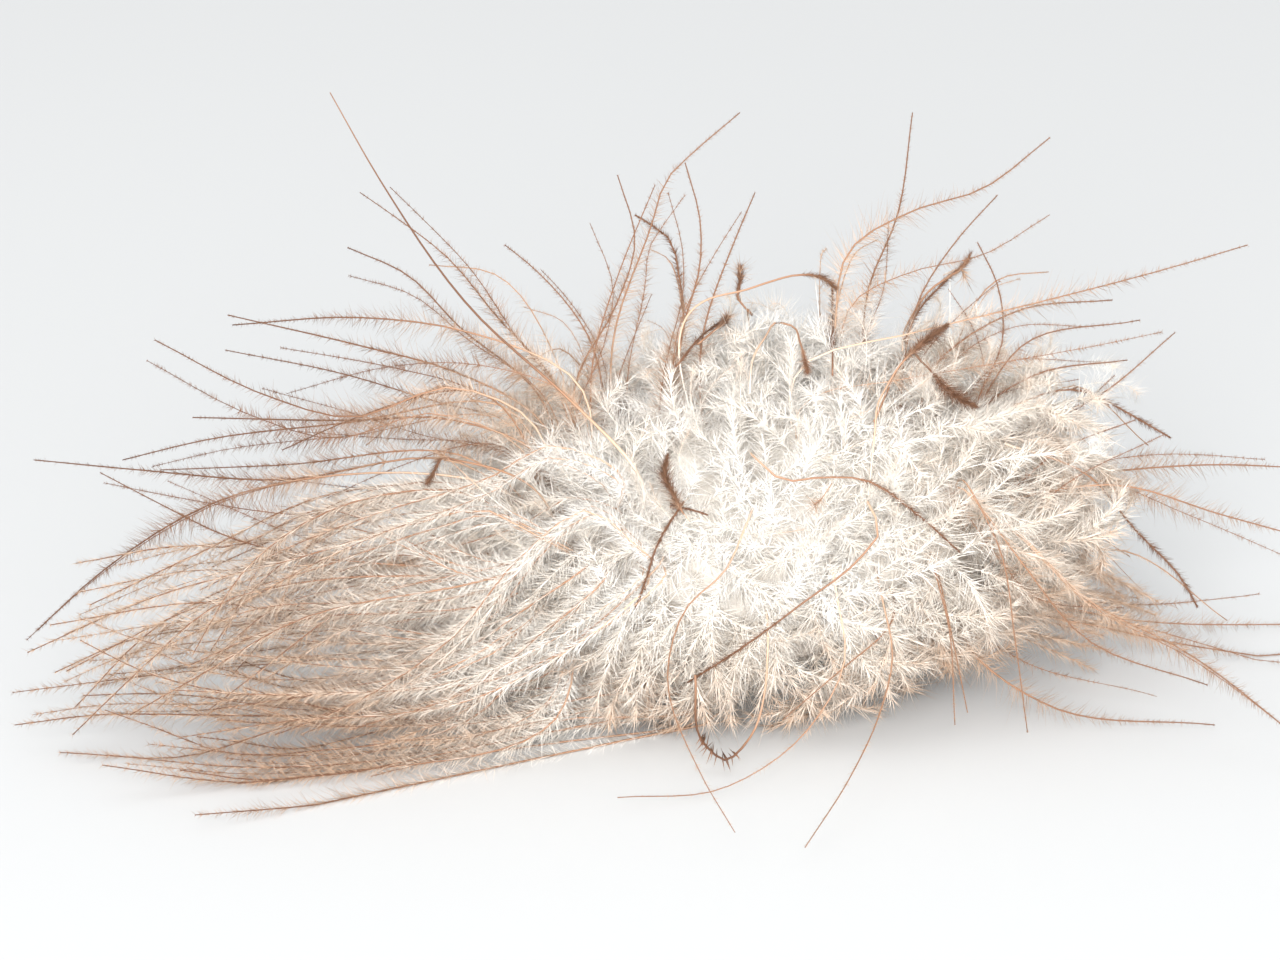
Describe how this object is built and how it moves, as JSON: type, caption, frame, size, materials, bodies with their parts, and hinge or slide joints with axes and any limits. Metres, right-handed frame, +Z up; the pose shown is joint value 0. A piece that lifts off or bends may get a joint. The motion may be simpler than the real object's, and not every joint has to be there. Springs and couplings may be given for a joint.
{
  "type": "down feather",
  "caption": "Down feather lying on its side: a round mass of white down with long loose brown-tipped barbs reaching out all round and a brown brush on the left.",
  "frame": {"origin": "on the patch where the feather's mass rests, at table height", "axes": "+X along the feather's longest way, away from the brown brush, +Z up, +Y to the back"},
  "size_m": [0.054, 0.0347, 0.0264],
  "materials": {
    "down": "soft white down, turning brown towards the barbs' tips"
  },
  "bodies": {
    "root": {"down_feather": "down"}
  },
  "joints": []
}
